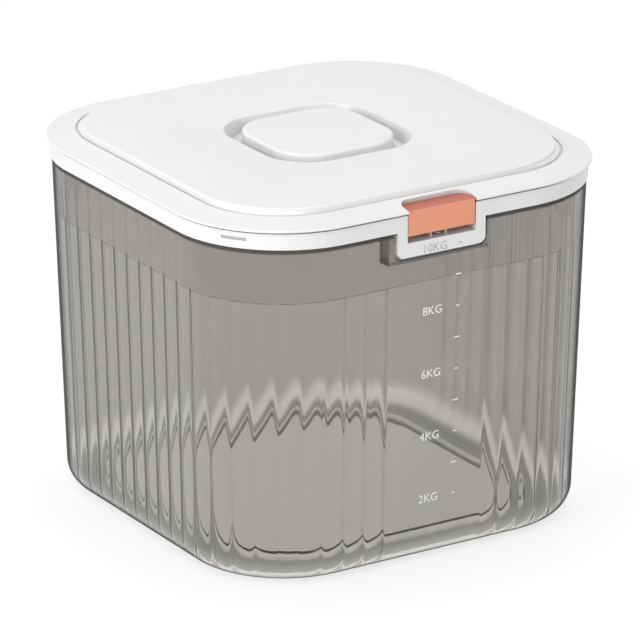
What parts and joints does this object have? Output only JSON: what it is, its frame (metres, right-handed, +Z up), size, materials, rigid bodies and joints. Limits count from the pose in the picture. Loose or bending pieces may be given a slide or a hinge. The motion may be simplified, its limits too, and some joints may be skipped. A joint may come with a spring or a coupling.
{
  "type": "flip-lid rice storage bin",
  "caption": "Square round-cornered clear storage bin for rice, with a flip lid, a front press latch and a lift-out moisture cap.",
  "frame": {"origin": "middle of the base, on the ground", "axes": "+Z up, the latch in front towards -Y, the hinges behind towards +Y"},
  "size_m": [0.27, 0.27, 0.226],
  "materials": {
    "clear_grey": "clear, tinted grey",
    "white_plastic": "satin",
    "peach_plastic": "satin",
    "silicone": "matte",
    "steel": "bright"
  },
  "bodies": {
    "base": {"container": "clear_grey", "collar": "white_plastic", "hinge_pin_left": "steel", "hinge_pin_right": "steel", "hinge_spring_left": "steel", "hinge_spring_right": "steel", "latch_pin": "steel", "latch_spring": "steel"},
    "lid": {"lid_cover": "white_plastic", "lid_liner": "white_plastic", "lid_gasket": "silicone", "lid_screws": "steel", "latch_strike": "steel"},
    "latch": {"latch_button": "peach_plastic"},
    "cap": {"cap_top": "white_plastic", "cap_plug": "white_plastic", "cap_oring": "silicone", "cap_screws": "steel", "desiccant_cup": "white_plastic"}
  },
  "joints": [
    {"name": "lid_flip", "type": "hinge", "parent": "base", "child": "lid", "pos_m": [0, 0.1321, 0.2138], "axis": [-1, 0, 0], "range_deg": [0, 100], "deforming": ["hinge_spring_left", "hinge_spring_right"]},
    {"name": "latch_press", "type": "hinge", "parent": "base", "child": "latch", "pos_m": [0, -0.1246, 0.2065], "axis": [1, 0, 0], "range_deg": [0, 12], "stiffness_Nm_per_rad": 0.02, "deforming": ["latch_spring"]},
    {"name": "cap_lift", "type": "slide", "parent": "lid", "child": "cap", "axis": [0, 0, 1], "range_m": [0, 0.04]}
  ]
}
